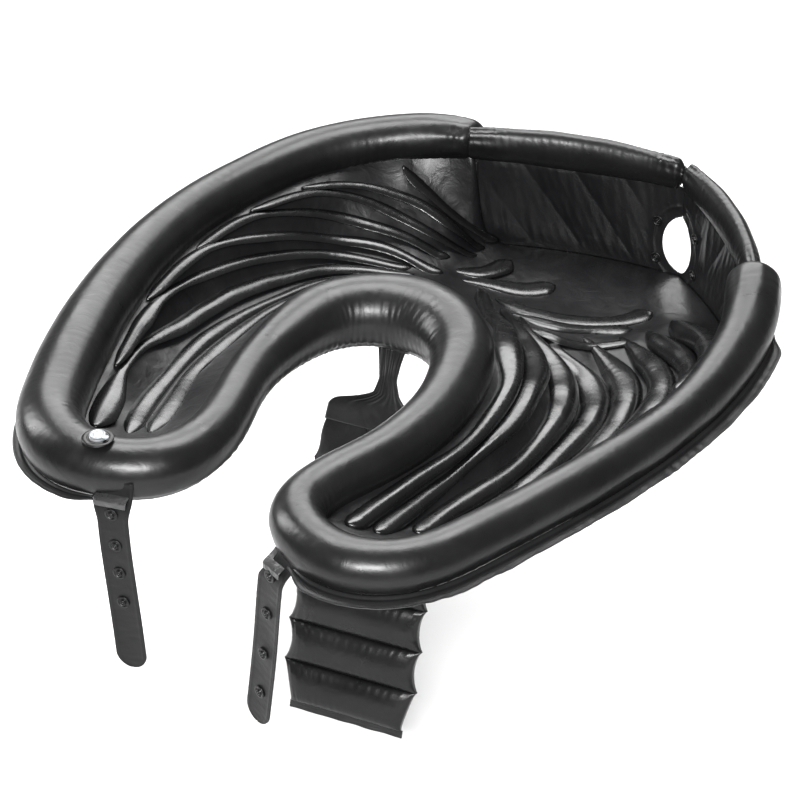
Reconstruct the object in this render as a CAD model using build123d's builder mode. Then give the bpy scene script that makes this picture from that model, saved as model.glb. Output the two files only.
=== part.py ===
from build123d import *
import math
import os

# Inflatable U-shaped hair-washing basin.
#
# Millimetres. The origin is the centre of the round neck opening, on the mid-plane of the rim tube.
# +X is the right arm, +Y runs to the drain corner at the rear, +Z is up.
# The basin is soft: each air chamber is a closed solid that stands for its film and the air in it.

# ---- driving dimensions ---------------------------------------------------------------------

FILM = 1.2                  # thickness that stands for welded film
FLANGE_IN = 0.92            # where the weld lip meets the rim tube, as shares of the tube's radius
FLANGE_DROP = 0.62
FLANGE_WIDTH = {"left": 7, "right": 12}
RIB_R = 6                   # air channels of the floor

# centre line of the rim tube from the left wall round both tips to the right wall: x, y, z, tube radius
RIM_LINE = [
    (-91, 349, 17, 14), (-133, 343, 15, 21), (-177, 319, 11, 22.5), (-222, 275, 6, 23),
    (-255, 204, 1, 23.5), (-268, 85, 0, 24.5), (-244, -53, 0, 27), (-200, -172, 0, 28),
    (-158, -234, 0, 27), (-131, -245, 0, 26.5), (-102, -244, 0, 25.5), (-67, -226, 0, 24.5),
    (-51, -181, 0, 23), (-58, -134, 0, 21.5), (-71, -88, 0, 21), (-77, -39, 0, 23),
    (-75, 1, 0, 26.5), (-64, 38, 0, 30), (-37, 64, 0, 32), (1, 74, 0, 33), (37, 63, 0, 31),
    (65, 37, 0, 28), (81, -1, 0, 25.5), (88, -40, 0, 24), (87, -91, 0, 22.5), (76, -139, 0, 21.5),
    (63, -180, 0, 21.5), (67, -225, 0, 21.7), (99, -250, 0, 21.7), (133, -254, 0, 21.5),
    (162, -241, 0, 21), (201, -174, 0, 20.5), (241, -53, 0, 20), (265, 84, 0, 20),
    (254, 205, 13, 23.5), (236, 252, 18, 15),
]
DRAIN_CORNER = (106, 389)   # where the two rear walls meet

WALL_TOP_Z = 18.5           # centre height of the inflated top edge of the rear walls
WALL_TUBE_R = 18
WALL_BULGE = 10             # how far each rear wall bows outwards
WALL_BOTTOM_Z = -92
WALL_CREASE_Z = 1           # the film starts under the inflated top edge here
DRAIN_HALF_WIDTH = 19       # the almond-shaped drain hole, measured along each wall
DRAIN_Z = (-88, -27)
SNAP_SET_BACK = 25          # drain snaps stand this far from the corner, beside the hole
DRAIN_SNAP_Z = (-38, -78)

STRAP_W = 27
STRAP_T = 1.6
SNAP_R = 5.5
SNAP_SHANK_R = 2.4
SNAP_HOLE_R = 2.5

PAD_LEAN = 17.5             # degrees that the back pad hangs forward of straight down
PAD_TURN = 5                # degrees that it is turned about +Z
PAD_ROLL = 1.4              # degrees that it is turned in its own plane
PAD_ROOT = (-19, 65, -36)
PAD_W = 134
PAD_RIB_PITCH = 39.2
PAD_RIBS = 7
PAD_TOP = 75                # distance from the root to the pad's first rib
PAD_RIB_HALF_T = 10
PAD_MID_X = -7              # the pad's middle, across from its neck's root
NECK_T = 5

VALVE_AT = (-104, -247)
VALVE_SEAT_Z = 27.0
VALVE_FLANGE_R = 13
VALVE_STEM_R = 7.0
VALVE_WELL_R = 7.08
VALVE_BORE_R = 4.0

os.makedirs("parts", exist_ok=True)
made = []


def finish(builder, name):
    """Label a finished piece and write it."""
    builder.part.label = name
    export_step(builder.part, f"parts/{name}.step")
    made.append(name)


def unit(x, y):
    length = math.hypot(x, y)
    return x / length, y / length


def rounds_along(curve, radius_at, stations, height=0.0, width=1.0):
    """Circles, or ovals of less width than height, square to a curve and ready to be lofted."""
    sections = []
    for at in stations:
        point = curve @ at
        r = radius_at(at)
        place = Plane(origin=(point.X, point.Y, point.Z + height), x_dir=(0, 0, 1), z_dir=curve % at)
        with BuildSketch(place) as oval:
            Ellipse(r, r * width)
        sections.append(oval.sketch.face())
    return sections


# ---- curves that the pieces share -----------------------------------------------------------

with BuildLine() as rim_wire:
    rim_line = Spline(*[(x, y, z) for x, y, z, r in RIM_LINE])

chords = [math.dist(a[:3], b[:3]) for a, b in zip(RIM_LINE, RIM_LINE[1:])]
rim_marks = [sum(chords[:i]) / sum(chords) for i in range(len(RIM_LINE))]


def rim_radius(at):
    """Radius of the rim tube at a share of its length, from the radii along RIM_LINE."""
    i = max(k for k in range(len(rim_marks) - 1) if rim_marks[k] <= at or k == 0)
    part = (at - rim_marks[i]) / (rim_marks[i + 1] - rim_marks[i])
    return RIM_LINE[i][3] * (1 - part) + RIM_LINE[i + 1][3] * part


def bowed_wall(start, end):
    """Plan of one rear wall: an arc from its pinched end to the drain corner."""
    ux, uy = unit(end[0] - start[0], end[1] - start[1])
    outward = (-uy, ux) if start[0] < end[0] else (uy, -ux)
    middle = ((start[0] + end[0]) / 2 + outward[0] * WALL_BULGE,
              (start[1] + end[1]) / 2 + outward[1] * WALL_BULGE)
    with BuildLine() as plan:
        arc = ThreePointArc(start, middle, end)
    return arc


left_wall = bowed_wall((-84, 349), DRAIN_CORNER)
right_wall = bowed_wall((229, 261), DRAIN_CORNER)

# ---- rim tube -------------------------------------------------------------------------------

rim_stations = [0, 0.018] + [0.04 + 0.92 * i / 41 for i in range(42)] + [0.982, 1]
with BuildPart() as rim_tube:
    loft(rounds_along(rim_line, rim_radius, rim_stations))
    with Locations((VALVE_AT[0], VALVE_AT[1], VALVE_SEAT_Z)):
        Hole(VALVE_WELL_R, depth=17)
finish(rim_tube, "rim_tube")

# ---- weld flange round the outside of the rim -----------------------------------------------


def flange_sections(side, start, stop, count):
    """Sections of the thin welded lip below the tube's equator, on its outer side."""
    sections = []
    for i in range(count + 1):
        at = start + (stop - start) * i / count
        point, tangent, r = rim_line @ at, rim_line % at, rim_radius(at)
        out_x, out_y = unit(tangent.Y, -tangent.X)
        middle = r * FLANGE_IN + FLANGE_WIDTH[side] / 2
        origin = (point.X + out_x * middle, point.Y + out_y * middle, point.Z - r * FLANGE_DROP)
        with BuildSketch(Plane(origin=origin, x_dir=(out_x, out_y, 0), z_dir=tangent)) as lip:
            Rectangle(FLANGE_WIDTH[side], FILM)
        sections.append(lip.sketch.face())
    return sections


for side, start, stop, count in (("right", 0.745, 0.975, 15), ("left", 0.03, 0.34, 20)):
    with BuildPart() as weld_lip:
        loft(flange_sections(side, start, stop, count))
    finish(weld_lip, f"{side}_weld_flange")

# ---- floor: one film dished under the rim, in three welded panels ---------------------------
# Each station is (inner x, inner y, outer x, outer y, middle z, inner z, outer z).

LOBE_STATIONS = [
    (96, -218, 150, -212, -17, -12, -12),
    (88, -185, 176, -172, -30, -10, -10),
    (100, -140, 196, -110, -40, -10, -10),
    (122, -70, 214, -40, -50, -10, -10),
    (130, 0, 232, 60, -62, -12, -10),
    (112, 76, 226, 170, -74, -16, -12),
    (72, 118, 190, 262, -84, -22, -24),
]
REAR_STATIONS = [
    (66, 121, 186, 267, -84, -22, -30),
    (38, 134, 140, 318, -92, -24, -90),
    (0, 139, 90, 368, -96, -25, -98),
    (-38, 134, 0, 352, -96, -25, -98),
    (-66, 121, -84, 332, -90, -22, -90),
]


def dished_sections(stations):
    """Thin dished sections of the floor, each standing upright across it."""
    sections = []
    for inner_x, inner_y, outer_x, outer_y, z_mid, z_in, z_out in stations:
        ux, uy = unit(outer_x - inner_x, outer_y - inner_y)
        width = math.hypot(outer_x - inner_x, outer_y - inner_y)
        upright = Plane(origin=(inner_x, inner_y, 0), x_dir=(ux, uy, 0), z_dir=(uy, -ux, 0))
        with BuildSketch(upright) as section:
            with BuildLine():
                top = ThreePointArc((0, z_in), (width * 0.55, z_mid), (width, z_out))
                low = ThreePointArc((0, z_in - FILM), (width * 0.55, z_mid - FILM), (width, z_out - FILM))
                Line(top @ 0, low @ 0)
                Line(top @ 1, low @ 1)
            make_face()
        sections.append(section.sketch.face())
    return sections


LEFT_STATIONS = [
    (-92, -202, -144, -198, -17, -14, -16),
    (-82, -176, -162, -166, -30, -12, -16),
    (-87, -138, -186, -116, -40, -10, -14),
    (-104, -70, -210, -40, -50, -10, -14),
    (-110, 0, -228, 60, -62, -10, -12),
    (-106, 74, -228, 160, -74, -14, -12),
    (-92, 102, -202, 246, -82, -20, -12),
    (-68, 121, -114, 318, -90, -22, -30),
]

with BuildPart() as left_floor:
    loft(dished_sections(LEFT_STATIONS))
finish(left_floor, "left_floor_film")
with BuildPart() as right_floor:
    loft(dished_sections(LOBE_STATIONS))
finish(right_floor, "right_floor_film")
with BuildPart() as rear_floor:
    loft(dished_sections(REAR_STATIONS))
finish(rear_floor, "rear_floor_film")

# ---- floor ribs: air channels that fan from the drain trough out to the rim -----------------
# Each rib is a smooth line through its points, from the rim or trough end to its other end.

LEFT_RIBS = [
    [(-150, 306, -8), (-128, 314, -30), (-102, 325, -56), (-80, 337, -76)],
    [(-213, 226, -10), (-158, 286, -24), (-129, 301, -38), (-100, 308, -56), (-80, 322, -78)],
    [(-230, 168, -10), (-205, 228, -13), (-147, 280, -40), (-110, 293, -60), (-84, 308, -80)],
    [(-234, 86, -10), (-231, 158, -12), (-190, 241, -36), (-123, 277, -62), (-100, 288, -74)],
    [(-222, -8, -12), (-228, 81, -12), (-206, 191, -38), (-142, 253, -63), (-98, 264, -76)],
    [(-188, -106, -14), (-219, 20, -20), (-203, 172, -49), (-175, 216, -63), (-116, 246, -76)],
    [(-152, -186, -16), (-196, -70, -24), (-207, 95, -50), (-164, 206, -70), (-112, 236, -77)],
    [(-132, -172, -24), (-170, -63, -41), (-186, 60, -58), (-164, 178, -71), (-122, 218, -75)],
    [(-116, -163, -22), (-148, -70, -39), (-170, 60, -58), (-156, 158, -70), (-126, 196, -73)],
]
RIGHT_RIBS = [
    [(-36, 256, -84), (1, 210, -70), (40, 162, -48), (82, 112, -32), (118, 20, -22), (122, -60, -22),
     (104, -190, -18)],
    [(-6, 240, -84), (45, 183, -60), (88, 130, -43), (126, 55, -30), (137, -2, -26), (134, -80, -26),
     (118, -186, -22)],
    [(20, 228, -78), (64, 184, -67), (117, 122, -58), (146, 40, -47), (150, -40, -41), (138, -165, -26)],
    [(60, 206, -76), (113, 166, -74), (148, 124, -68), (166, 40, -56), (167, -60, -42), (158, -160, -26)],
    [(86, 234, -83), (136, 196, -78), (172, 140, -68), (186, 50, -57), (187, -60, -36), (176, -144, -18)],
    [(112, 250, -83), (164, 208, -69), (200, 144, -55), (208, 50, -41), (206, -40, -24), (198, -100, -14)],
    [(132, 266, -80), (172, 236, -66), (210, 180, -48), (224, 100, -30), (222, 0, -14)],
    [(146, 290, -78), (184, 262, -62), (214, 216, -42), (230, 150, -24), (234, 84, -14)],
]
TROUGH_RIBS = [
    [(-84, 280, -85), (-62, 294, -88), (-46, 326, -88)],
    [(-68, 270, -86), (-38, 284, -91), (-4, 314, -93)],
    [(-20, 262, -87), (24, 251, -87), (80, 274, -91), (112, 306, -89)],
    [(8, 233, -80), (50, 234, -82), (84, 254, -87), (114, 280, -88)],
    [(42, 207, -74), (66, 203, -72), (98, 222, -82), (128, 248, -82)],
]


def rib(points):
    """One air channel of the floor, slimmer at both ends."""
    with BuildLine() as line:
        crest = Spline(*points)
    sections = []
    for at, r in ((0, 2), (0.1, 5), (0.3, RIB_R), (0.5, RIB_R), (0.7, RIB_R), (0.9, 5), (1, 2.5)):
        with BuildSketch(Plane(origin=crest @ at, z_dir=crest % at)) as round_section:
            Circle(r)
        sections.append(round_section.sketch.face())
    with BuildPart() as channel:
        loft(sections)
    return channel.part


for name, ribs in (("left_floor_ribs", LEFT_RIBS), ("right_floor_ribs", RIGHT_RIBS),
                   ("trough_ribs", TROUGH_RIBS)):
    with BuildPart() as rib_group:
        for points in ribs:
            add(rib(points))
    finish(rib_group, name)

# ---- rear walls: inflated top edge over a film wall with half of the drain hole -------------


def wall_radius(at):
    """The inflated edge swells from the pinch and closes again at the drain corner."""
    return 5 + (WALL_TUBE_R - 5) * math.sin(math.pi * (0.06 + 0.88 * at)) ** 0.5


def wall_side(curve, start, stop):
    """Film hanging under the inflated edge, a thin bowed sheet between two shares of its length."""
    mid = curve @ ((start + stop) / 2)
    with BuildPart() as sheet:
        with BuildSketch(Plane.XY.offset(WALL_BOTTOM_Z)) as footprint:
            with BuildLine():
                ends = [curve @ start, curve @ stop]
                across = [(curve % at).rotate(Axis.Z, 90) * (FILM / 2) for at in (start, 0.5, stop)]
                near = ThreePointArc(ends[0] + across[0], mid + across[1], ends[1] + across[2])
                far = ThreePointArc(ends[0] - across[0], mid - across[1], ends[1] - across[2])
                Line(near @ 0, far @ 0)
                Line(near @ 1, far @ 1)
            make_face()
        extrude(amount=WALL_CREASE_Z - 2 - WALL_BOTTOM_Z)
    return sheet.part


def drain_cutter(curve):
    """A bar through the film wall at the corner, in the outline of half an almond."""
    corner = curve @ 1
    along = curve % 1
    low, high = DRAIN_Z
    upright = Plane(origin=(corner.X, corner.Y, 0), x_dir=-along, z_dir=along.rotate(Axis.Z, 90))
    with BuildPart() as bar:
        with BuildSketch(upright):
            with BuildLine():
                ThreePointArc((0, low), (DRAIN_HALF_WIDTH, (low + high) / 2), (0, high))
                Polyline((0, high), (-20, high), (-20, low), (0, low))
            make_face()
        extrude(amount=8, both=True)
    return bar.part


def drain_snap_planes(curve, turn):
    """Where the press studs go through a film wall, facing into the bowl."""
    at = 1 - SNAP_SET_BACK / curve.length
    seat = curve @ at
    inward = (curve % at).rotate(Axis.Z, turn)
    return [Plane(origin=(seat.X, seat.Y, z), z_dir=inward) for z in DRAIN_SNAP_Z]


def snap(place, thickness):
    """A press stud seated in its hole: cap on one face, shank, ring on the other face."""
    face = thickness / 2 + 0.03
    with BuildPart() as stud:
        with BuildSketch(place.offset(-face - 1.2)):
            Circle(SNAP_R * 0.8)
        extrude(amount=1.2)
        with BuildSketch(place.offset(-face - 0.6)):
            Circle(SNAP_SHANK_R)
        extrude(amount=2 * face + 1.2)
        with BuildSketch(place.offset(face)):
            Circle(SNAP_R)
        extrude(amount=1.3)
        with BuildSketch(place.offset(face + 0.9)):
            Circle(2.2)
        extrude(amount=1.6)
    return stud.part


for name, curve, turn in (("left", left_wall, -90), ("right", right_wall, 90)):
    wall_stations = [i / 10 for i in range(10)]
    with BuildPart() as wall_edge:
        loft(rounds_along(curve, wall_radius, wall_stations, height=WALL_TOP_Z, width=0.6))
    finish(wall_edge, f"{name}_wall_edge_tube")
    snap_planes = drain_snap_planes(curve, turn)
    with BuildPart() as wall_film:
        add(wall_side(curve, 0.02, 0.994))
        add(drain_cutter(curve), mode=Mode.SUBTRACT)
        for place in snap_planes:
            with BuildSketch(place.offset(-6)):
                Circle(SNAP_HOLE_R + 0.3)
            extrude(amount=12, mode=Mode.SUBTRACT)
    finish(wall_film, f"{name}_wall_film")
    with BuildPart() as drain_snaps:
        for place in snap_planes:
            add(snap(place, FILM + 0.3))
    finish(drain_snaps, f"{name}_drain_snaps")

# upright welds where the rim tube's ends, the floor and the walls meet
for name, foot, across_end in (("left", (-91, 346), (0.98, -0.2)), ("right", (235, 254), (-0.47, 0.88))):
    with BuildPart() as pinch:
        with BuildSketch(Plane(origin=(foot[0], foot[1], -80), x_dir=(across_end[0], across_end[1], 0))):
            Rectangle(1.0, 8)
        extrude(amount=78)
    finish(pinch, f"{name}_pinch_weld")

# ---- inflation valve on the left arm's tip --------------------------------------------------

valve_plane = Plane(origin=(VALVE_AT[0], VALVE_AT[1], VALVE_SEAT_Z))
with BuildPart() as valve_flange:
    with BuildSketch(valve_plane):
        Circle(VALVE_FLANGE_R)
        Circle(VALVE_WELL_R, mode=Mode.SUBTRACT)
    extrude(amount=1.4)
    fillet(valve_flange.edges().group_by(Axis.Z)[-1].sort_by(SortBy.RADIUS)[-1:], 0.6)
finish(valve_flange, "valve_flange")

with BuildPart() as valve_stem:
    with BuildSketch(valve_plane.offset(-11)):
        Circle(VALVE_STEM_R)
        Circle(VALVE_BORE_R, mode=Mode.SUBTRACT)
    extrude(amount=14)
    with BuildSketch(valve_plane.offset(1.9)):
        with Locations((8.6, 0)):
            RectangleRounded(5, 5, 1)
    extrude(amount=1.0)
finish(valve_stem, "valve_stem")

with BuildPart() as valve_flap:
    with BuildSketch(valve_plane.offset(-12.2)):
        Circle(5.2)
    extrude(amount=0.8)
finish(valve_flap, "valve_flap")

with BuildPart() as valve_cap:
    with BuildSketch(valve_plane.offset(3.1)):
        Circle(6.6)
        with Locations((7.5, 0)):
            RectangleRounded(6, 5, 1.6)
    extrude(amount=1.3)
    fillet(valve_cap.edges().group_by(Axis.Z)[-1], 0.4)
    with BuildSketch(valve_plane.offset(3.1)):
        Circle(3.75)
    with BuildSketch(valve_plane.offset(0.4)):
        Circle(3.0)
    loft()
finish(valve_cap, "valve_cap")

# ---- straps ---------------------------------------------------------------------------------
# Each strap: root, turn of its face about +Z, sideways tilt, length, distances of its snaps.

STRAPS = {
    "left": ((-80, -268, -7), 9, 3.4, 170, (17, 47, 74, 103)),
    "right": ((70, -266, -15), -17, -8, 174, (14, 54, 98, 141)),
}


def strap_plane(root, turn, tilt):
    """Local x across the strap, local y up along it, face towards the front."""
    a = math.radians(turn)
    b = math.radians(tilt)
    across = Vector(math.cos(a), math.sin(a), 0)
    front = Vector(math.sin(a), -math.cos(a), 0)
    up = front.cross(across)
    return Plane(origin=root, x_dir=across * math.cos(b) + up * math.sin(b), z_dir=front)


for name, (root, turn, tilt, length, stops) in STRAPS.items():
    face = strap_plane(root, turn, tilt)
    half = STRAP_W / 2
    with BuildPart() as strap:
        with BuildSketch(face.offset(-STRAP_T / 2)):
            with BuildLine():
                Polyline((-half, half - length), (-half, -26), (-half - 4, -4), (half + 4, -4),
                         (half, -26), (half, half - length))
                ThreePointArc((half, half - length), (0, -length), (-half, half - length))
            make_face()
            with Locations([(0, -s) for s in stops]):
                Circle(SNAP_HOLE_R, mode=Mode.SUBTRACT)
        extrude(amount=STRAP_T)
    finish(strap, f"{name}_strap")
    with BuildPart() as strap_snaps:
        for s in stops:
            seat = face.from_local_coords(Vector(0, -s, 0))
            add(snap(Plane(origin=seat, x_dir=face.x_dir, z_dir=face.z_dir), STRAP_T))
    finish(strap_snaps, f"{name}_strap_snaps")
    front = face.z_dir
    patch_centre = (root[0] + 2.6 * front.X, root[1] + 2.6 * front.Y, root[2] + 0.2)
    with BuildPart() as strap_patch:
        with BuildSketch(Plane(origin=patch_centre, x_dir=(front.X, front.Y, 0))):
            RectangleRounded(9, STRAP_W + 6, 2)
        extrude(amount=FILM - 0.4)
    finish(strap_patch, f"{name}_strap_patch")

# ---- back pad -------------------------------------------------------------------------------

lean = math.radians(PAD_LEAN)
turn = math.radians(PAD_TURN)
roll = math.radians(PAD_ROLL)
pad_front = Vector(math.sin(turn) * math.cos(lean), -math.cos(turn) * math.cos(lean), math.sin(lean))
pad_level = Vector(math.cos(turn), math.sin(turn), 0)
pad_across = pad_level * math.cos(roll) + pad_front.cross(pad_level) * math.sin(roll)
pad_face = Plane(origin=PAD_ROOT, x_dir=pad_across, z_dir=pad_front)
pad_half = PAD_W / 2

with BuildPart() as pad_neck:
    with BuildSketch(pad_face.offset(-NECK_T / 2)):
        with BuildLine():
            right_edge = Spline((11, -2), (8, -26), (16, -50), (PAD_MID_X + pad_half - 26, -70))
            left_edge = Spline((-13, -2), (-11, -26), (-22, -52), (PAD_MID_X - pad_half + 22, -66))
            Line(right_edge @ 0, left_edge @ 0)
            Polyline(right_edge @ 1, (PAD_MID_X + pad_half - 26, -73), (PAD_MID_X - pad_half + 22, -73),
                     left_edge @ 1)
        make_face()
    extrude(amount=NECK_T)
finish(pad_neck, "pad_neck")

pad_side = Plane(origin=pad_face.from_local_coords(Vector(PAD_MID_X - pad_half, 0, 0)),
                 x_dir=pad_face.z_dir, z_dir=pad_face.x_dir)
with BuildPart() as back_pad:
    with BuildSketch(pad_side):
        for i in range(PAD_RIBS):
            with Locations((0, PAD_TOP + PAD_RIB_PITCH * (i + 0.5))):
                Ellipse(PAD_RIB_HALF_T, PAD_RIB_PITCH * 0.52)
    extrude(amount=PAD_W)
finish(back_pad, "back_pad")

with BuildPart() as pad_hem:
    with BuildSketch(pad_face.offset(-0.8)):
        with Locations((PAD_MID_X, -PAD_TOP - PAD_RIB_PITCH * PAD_RIBS - 4.4)):
            RectangleRounded(PAD_W - 20, 7, 1.5)
    extrude(amount=1.6)
finish(pad_hem, "pad_bottom_hem")

patch_centre = (PAD_ROOT[0], PAD_ROOT[1] + 3, PAD_ROOT[2] + 1.8)
with BuildPart() as pad_patch:
    with BuildSketch(Plane(origin=patch_centre, x_dir=(1, 0, 0), z_dir=(0, 0, -1))):
        RectangleRounded(34, 12, 3)
    extrude(amount=-FILM)
finish(pad_patch, "pad_root_patch")

print("rim tube length", round(rim_line.length))
print(len(made), made)
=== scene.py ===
import math

import bmesh
import bpy
import numpy as np
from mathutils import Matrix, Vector


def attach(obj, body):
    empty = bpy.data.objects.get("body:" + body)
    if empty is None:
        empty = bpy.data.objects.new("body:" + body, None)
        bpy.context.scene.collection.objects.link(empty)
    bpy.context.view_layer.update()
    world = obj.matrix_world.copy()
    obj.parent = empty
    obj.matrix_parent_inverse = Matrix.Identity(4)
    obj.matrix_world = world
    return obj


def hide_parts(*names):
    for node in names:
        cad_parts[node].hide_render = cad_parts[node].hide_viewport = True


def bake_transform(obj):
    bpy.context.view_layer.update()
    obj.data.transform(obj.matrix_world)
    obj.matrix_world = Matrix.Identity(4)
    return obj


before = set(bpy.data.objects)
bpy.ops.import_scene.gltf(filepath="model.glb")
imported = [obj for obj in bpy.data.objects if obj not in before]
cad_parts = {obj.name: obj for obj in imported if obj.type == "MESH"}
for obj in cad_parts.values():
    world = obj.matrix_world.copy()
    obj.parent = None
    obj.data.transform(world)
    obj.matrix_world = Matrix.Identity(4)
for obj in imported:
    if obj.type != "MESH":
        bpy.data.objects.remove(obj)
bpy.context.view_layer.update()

# Inflatable hair-washing basin: detailed skins over the CAD frame.
# The numbers below are millimetres in the CAD frame; meshes are made in metres.

MM = 0.001
scene = bpy.context.scene

# ---- the basin's driving curves, as in the part ---------------------------------------------

# centre line of the rim tube from the left wall round both tips to the right wall: x, y, z, radius
RIM_LINE = [
    (-91, 349, 17, 19), (-133, 343, 15, 21.2), (-177, 319, 11, 22.6), (-222, 275, 6, 23.3),
    (-255, 204, 1, 23.5), (-268, 85, 0, 24.5), (-244, -53, 0, 27), (-200, -172, 0, 28.5),
    (-158, -234, 0, 27.3), (-131, -245, 0, 26.7), (-102, -244, 0, 25.5), (-67, -226, 0, 24.4),
    (-51, -181, 0, 22.8), (-58, -134, 0, 21.1), (-71, -88, 0, 20.7), (-77, -39, 0, 22.9),
    (-75, 1, 0, 26.6), (-64, 38, 0, 30), (-37, 64, 0, 32), (1, 74, 0, 33), (37, 63, 0, 31),
    (65, 37, 0, 28), (81, -1, 0, 25.6), (88, -40, 0, 24), (87, -91, 0, 22.3), (76, -139, 0, 21.5),
    (63, -180, 0, 21.3), (67, -225, 0, 21.7), (99, -250, 0, 21.7), (133, -254, 0, 21.7),
    (162, -241, 0, 21.2), (201, -174, 0, 20.3), (241, -53, 0, 20), (265, 84, 0, 20),
    (254, 205, 13, 23.8), (236, 252, 18, 24),
]
CORNER = (106, 389)
WALLS = {"left": (-84, 349), "right": (229, 261)}


def unit(v):
    v = np.asarray(v, float)
    return v / np.linalg.norm(v, axis=-1, keepdims=True)


def smooth(x, a, b):
    t = np.clip((x - a) / (b - a), 0, 1)
    return t * t * (3 - 2 * t)


def run_length(points):
    """Distance along a polyline at each of its points."""
    return np.concatenate([[0], np.cumsum(np.linalg.norm(np.diff(points, axis=0), axis=1))])


def averaged(values, reach=6):
    """Running mean over reach neighbours on each side."""
    width = 2 * reach + 1
    return np.convolve(np.pad(values, reach, mode="edge"), np.ones(width) / width, "valid")


def even(points, step):
    """The same polyline with points every step or so."""
    run = run_length(points)
    at = np.linspace(0, run[-1], max(2, int(round(run[-1] / step)) + 1))
    return np.stack([np.interp(at, run, points[:, k]) for k in range(points.shape[1])], 1)


def spline(points, start=None, end=None):
    """Cubic through the points, finely sampled; the end directions may be chosen."""
    p = np.array(points, float)
    start = p[1, :3] - p[0, :3] if start is None else start
    end = p[-1, :3] - p[-2, :3] if end is None else end
    chord = np.linalg.norm(np.diff(p[:, :3], axis=0), axis=1)
    n = len(p)
    a = np.eye(n)
    rhs = np.zeros_like(p)
    rhs[0, :3], rhs[-1, :3] = unit(start), unit(end)
    for i in range(1, n - 1):
        h0, h1 = chord[i - 1], chord[i]
        a[i, i - 1], a[i, i], a[i, i + 1] = 1 / h0, 2 * (1 / h0 + 1 / h1), 1 / h1
        rhs[i] = 3 * ((p[i] - p[i - 1]) / h0 ** 2 + (p[i + 1] - p[i]) / h1 ** 2)
    slope = np.linalg.solve(a, rhs)
    out = []
    for i in range(n - 1):
        t = np.linspace(0, 1, 60, endpoint=False)[:, None]
        h = chord[i]
        out.append((2 * t ** 3 - 3 * t ** 2 + 1) * p[i] + (t ** 3 - 2 * t ** 2 + t) * h * slope[i]
                   + (-2 * t ** 3 + 3 * t ** 2) * p[i + 1] + (t ** 3 - t ** 2) * h * slope[i + 1])
    out.append(p[-1:])
    return np.concatenate(out)


def arc3(a, b, c, count):
    """Points along the circle arc through three points in the plane."""
    (ax, ay), (bx, by), (cx, cy) = a, b, c
    cross = 2 * (ax * (by - cy) + bx * (cy - ay) + cx * (ay - by))
    sa, sb, sc = ax * ax + ay * ay, bx * bx + by * by, cx * cx + cy * cy
    ox = (sa * (by - cy) + sb * (cy - ay) + sc * (ay - by)) / cross
    oy = (sa * (cx - bx) + sb * (ax - cx) + sc * (bx - ax)) / cross
    first, middle, last = (math.atan2(y - oy, x - ox) for x, y in (a, b, c))
    turn = (last - first) % (2 * math.pi)
    if (middle - first) % (2 * math.pi) > turn:
        turn -= 2 * math.pi
    t = first + np.linspace(0, turn, count)
    radius = math.hypot(ax - ox, ay - oy)
    return np.stack([ox + radius * np.cos(t), oy + radius * np.sin(t)], 1)


def waves(a, b, seed, count=10, long=(9, 30), slant=1.5, ridged=False):
    """Uneven ripples across a, drifting with b, about -1 to 1."""
    rng = np.random.default_rng(seed)
    total = np.zeros(np.broadcast(a, b).shape)
    for _ in range(count):
        wave = rng.uniform(*long)
        part = np.sin(2 * np.pi * a / wave + rng.uniform(-slant, slant) * b + rng.uniform(0, 6.28))
        part *= 0.55 + 0.45 * np.sin(a / rng.uniform(20, 60) + rng.uniform(-2, 2) * b
                                     + rng.uniform(0, 6.28))
        total += (1 - 2 * np.abs(part)) if ridged else part
    return total / count ** 0.5


# ---- meshes ---------------------------------------------------------------------------------

def mesh_object(name, points, faces):
    """Smooth object in metres from points in millimetres, with doubled points merged."""
    mesh = bpy.data.meshes.new(name)
    corners = [tuple(p) for p in np.asarray(points) * MM]
    mesh.from_pydata(corners, [], [tuple(int(k) for k in f) for f in faces])
    bm = bmesh.new()
    bm.from_mesh(mesh)
    bmesh.ops.remove_doubles(bm, verts=bm.verts, dist=2e-5)
    bmesh.ops.recalc_face_normals(bm, faces=bm.faces)
    for f in bm.faces:
        f.smooth = True
    bm.to_mesh(mesh)
    bm.free()
    obj = bpy.data.objects.new(name, mesh)
    scene.collection.objects.link(obj)
    return obj


def quads(rows, cols, wrap=False, start=0, flip=False):
    """Four-sided faces of a grid of points whose first one is number start."""
    out = []
    for i in range(rows - 1):
        for j in range(cols if wrap else cols - 1):
            k = (j + 1) % cols
            row, after = start + i * cols, start + (i + 1) * cols
            f = (row + j, row + k, after + k, after + j)
            out.append(f[::-1] if flip else f)
    return out


def tube(name, rings):
    """A closed skin through rings of points, with its two ends closed by a middle point."""
    rows, cols = rings.shape[:2]
    points = rings.reshape(-1, 3)
    points = np.concatenate([points, rings[0].mean(0)[None], rings[-1].mean(0)[None]])
    faces = quads(rows, cols, wrap=True)
    first, last = rows * cols, rows * cols + 1
    for j in range(cols):
        k = (j + 1) % cols
        faces.append((first, k, j))
        faces.append((last, (rows - 1) * cols + j, (rows - 1) * cols + k))
    return mesh_object(name, points, faces)


def closed_faces(rows, cols, start=0):
    """Faces of a tube of rings, with one flat face over each end."""
    faces = quads(rows, cols, wrap=True, start=start)
    faces.append(tuple(start + j for j in range(cols))[::-1])
    faces.append(tuple(start + (rows - 1) * cols + j for j in range(cols)))
    return faces


def closed_tubes(name, skins):
    """Several tubes of rings as one object, each closed by flat ends."""
    faces, start = [], 0
    for rings in skins:
        rows, cols = rings.shape[:2]
        faces += closed_faces(rows, cols, start)
        start += rows * cols
    return mesh_object(name, np.concatenate([rings.reshape(-1, 3) for rings in skins]), faces)


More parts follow.
